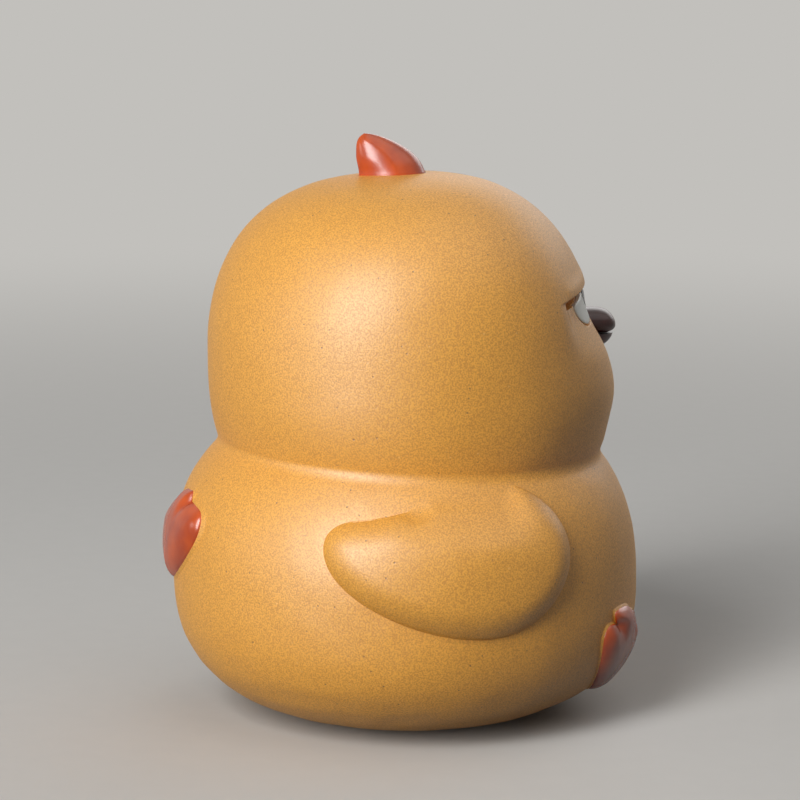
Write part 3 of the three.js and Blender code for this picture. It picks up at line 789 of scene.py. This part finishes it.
for name, width, tall, lift, reach, roundness, over in (
        ("beak_upper", 5.4, 3.0, 1.35, 2.7, 3.2, 1), ("beak_lower", 4.2, 3.1, 0.0, 2.3, 1.45, -1)):
    def beak_top(share, along, up):
        """The lift of this dome, to its reach in the middle."""
        return reach * swell(share, 1.0, roundness) - 0.02

    outline = drawn(ROUND_OUTLINE, width, tall, 64)
    grid = laid(
        head_point, head_finish, 0.0, MOUTH_RISE + lift, outline, 24, beak_top, -1.3, BEAK_DROOP)
    mouth = NECK_HEIGHT + MOUTH_RISE + over * MOUTH_GAP / 2
    grid[..., 2] = np.maximum(grid[..., 2] * over, mouth * over) * over
    made = part_from(name + "_dome", grid, hoop=True)
    made.data.materials.append(maroon_glaze)
    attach(made, "root")
    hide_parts(name)

# The comb is a small flame of clay on the crown, upright at its back edge and sloping down to the
# front, pinched from a pellet, smoothed on at its foot and dipped in the red glaze.
COMB_LENGTH = 7.5
COMB_HEIGHT = 4.3
COMB_THICKNESS = 5.8
COMB_SETBACK = 5.9
COMB_TIP_FORWARD = 0.9
COMB_TIP_CURL = 9.0
COMB_FULLNESS = 1.9
COMB_TIP_FULLNESS = 0.6
COMB_UNDERCUT = 0.3
COMB_FLARE = 0.2
COMB_FLARE_RISE = 0.35
COMB_PLANED = 0.4
COMB_FOOT = 0.35

climb = np.concatenate([[-COMB_FOOT], np.sin(np.linspace(0.0, math.pi / 2, 44))])[:, None]
risen = np.clip(climb, 0.0, 1.0)
left = (1 - risen ** COMB_FULLNESS) ** COMB_TIP_FULLNESS
turn = np.linspace(0.0, 2 * math.pi, 80, endpoint=False)[None, :]
sideways, backwards = np.sin(turn), np.cos(turn)
flare = COMB_FLARE * np.exp(-risen * COMB_HEIGHT / COMB_FLARE_RISE) * (1 - backwards) / 2
planed = 1 + COMB_PLANED * (1 - risen) * (backwards > 0)
across = (1 - risen ** 1.5) ** 0.7 * COMB_THICKNESS / 2 + flare
across = across * np.sign(sideways) * np.abs(sideways) ** planed
undercut = COMB_UNDERCUT * smooth(1 - risen / 0.45) * (1 + backwards) / 2
lengthways = left * COMB_LENGTH / 2 + flare
lengthways = lengthways * np.sign(backwards) * np.abs(backwards) ** planed - undercut
back = COMB_SETBACK - COMB_TIP_FORWARD * risen ** COMB_TIP_CURL - left * COMB_LENGTH / 2
crown = NECK_HEIGHT + HEAD_HEIGHT
height = crown + climb * COMB_HEIGHT
grid = np.stack(np.broadcast_arrays(across, back + lengthways, height), axis=-1)
made = part_from("comb_flame", grid, hoop=True)
made.data.materials.append(red_glaze)
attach(made, "root")
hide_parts("comb")

# The floor is a plain sweep of pale matt card. Near the object it shows light and shadow as they
# fall; further off it is seen in its own pale colour. The light that it throws back up is kept low.
FIBRE_SIZE = 3.0
FLOOR_REACH = 6.0
FADE_START, FADE_END = 0.12, 0.5
PALE_GREY = linear("#c2c0bc")
card, tree = blank_material("pale_matt_card")
place = add(tree, "ShaderNodeTexCoord", {}).outputs["Object"]
fibre = add(tree, "ShaderNodeTexNoise", {
    "Vector": place, "Scale": 1 / (FIBRE_SIZE * MM), "Detail": 2.0})
hue = add(tree, "ShaderNodeMix", {
    0: fibre.outputs["Fac"], 6: linear("#d2d0cc"), 7: linear("#d5d3cf")}, data_type="RGBA")
path = add(tree, "ShaderNodeLightPath", {})
seen = add(tree, "ShaderNodeMath", {
    0: path.outputs["Is Camera Ray"], 1: path.outputs["Is Glossy Ray"]}, operation="MAXIMUM")
seen = add(tree, "ShaderNodeMath", {
    0: seen.outputs[0], 1: path.outputs["Is Transmission Ray"]}, operation="MAXIMUM")
shown = add(tree, "ShaderNodeMix", {
    0: seen.outputs[0], 6: linear("#383634"), 7: hue.outputs[2]}, data_type="RGBA")
matt = add(tree, "ShaderNodeBsdfDiffuse", {"Color": shown.outputs[2]})
glow = add(tree, "ShaderNodeEmission", {"Color": PALE_GREY, "Strength": 1.0})
away = add(tree, "ShaderNodeVectorMath", {0: place}, operation="LENGTH")
far = add(tree, "ShaderNodeMapRange", {
    "Value": away.outputs["Value"], 1: FADE_START, 2: FADE_END}, interpolation_type="SMOOTHSTEP")
far_seen = add(tree, "ShaderNodeMath", {
    0: far.outputs[0], 1: seen.outputs[0]}, operation="MULTIPLY")
either = add(tree, "ShaderNodeMixShader", {
    0: far_seen.outputs[0], 1: matt.outputs[0], 2: glow.outputs[0]})
add(tree, "ShaderNodeOutputMaterial", {"Surface": either.outputs[0]})
mesh = bpy.data.meshes.new("floor")
corners = [(x * FLOOR_REACH, y * FLOOR_REACH, 0) for x, y in ((-1, -1), (1, -1), (1, 1), (-1, 1))]
mesh.from_pydata(corners, [], [(0, 1, 2, 3)])
mesh.materials.append(card)
floor = bpy.data.objects.new("floor", mesh)
bpy.context.scene.collection.objects.link(floor)

# The light is a tall soft box behind the chick's right side, tilted a little, with a weak broad one
# overhead, a low wide one in front on its left, a small weak one behind it, and a dim, even room.
world = bpy.data.worlds.new("pale_room")
world.use_nodes = True
tree = world.node_tree
tree.nodes.clear()
path = add(tree, "ShaderNodeLightPath", {})
seen = add(tree, "ShaderNodeMath", {
    0: path.outputs["Is Camera Ray"], 1: path.outputs["Is Glossy Ray"]}, operation="MAXIMUM")
seen = add(tree, "ShaderNodeMath", {
    0: seen.outputs[0], 1: path.outputs["Is Transmission Ray"]}, operation="MAXIMUM")
room = add(tree, "ShaderNodeBackground", {"Color": linear("#f2f3f6"), "Strength": 0.03})
backdrop = add(tree, "ShaderNodeBackground", {"Color": PALE_GREY, "Strength": 1.0})
either = add(tree, "ShaderNodeMixShader", {
    0: seen.outputs[0], 1: room.outputs[0], 2: backdrop.outputs[0]})
add(tree, "ShaderNodeOutputWorld", {"Surface": either.outputs[0]})
bpy.context.scene.world = world


def towards(azimuth, elevation):
    """The direction of an azimuth, from the front and positive to the left, and an elevation."""
    a, e = math.radians(azimuth), math.radians(elevation)
    return Vector((math.sin(a) * math.cos(e), -math.cos(a) * math.cos(e), math.sin(e)))


for name, azimuth, elevation, width, tall, roll, power in (
        ("key_box", -138, 23, 0.36, 1.05, -13, 12.5), ("top_box", -36, 68, 1.1, 1.0, 0, 2.2),
        ("rim_box", 52, 24, 0.95, 0.42, 0, 2.2), ("back_box", -178, 9, 0.3, 0.3, 0, 0.6)):
    lamp = bpy.data.lights.new(name, "AREA")
    lamp.shape = "RECTANGLE"
    lamp.size = width
    lamp.size_y = tall
    lamp.energy = power
    box = bpy.data.objects.new(name, lamp)
    direction = towards(azimuth, elevation)
    box.location = Vector((0, 0, 0.03)) + direction
    tilt = Quaternion((0, 0, 1), math.radians(roll))
    box.rotation_euler = (direction.to_track_quat("Z", "Y") @ tilt).to_euler()
    bpy.context.scene.collection.objects.link(box)

# The camera has the photograph's viewing angle: beside the chick's right flank, a little behind it
# and low, with a long lens.
CAMERA_AZIMUTH, CAMERA_ELEVATION = -103, 9.7
CAMERA_DISTANCE = 0.33
lens = bpy.data.cameras.new("camera")
lens.sensor_width = 36.0
lens.lens = 134.08
lens.shift_x = -0.0051
lens.shift_y = 0.0485
lens.clip_start = 0.01
camera = bpy.data.objects.new("camera", lens)
direction = towards(CAMERA_AZIMUTH, CAMERA_ELEVATION)
camera.location = Vector((0, 0.55 * MM, 30.0 * MM)) + direction * CAMERA_DISTANCE
camera.rotation_euler = direction.to_track_quat("Z", "Y").to_euler()
bpy.context.scene.collection.objects.link(camera)
bpy.context.scene.camera = camera
bpy.context.scene.view_settings.view_transform = "Standard"
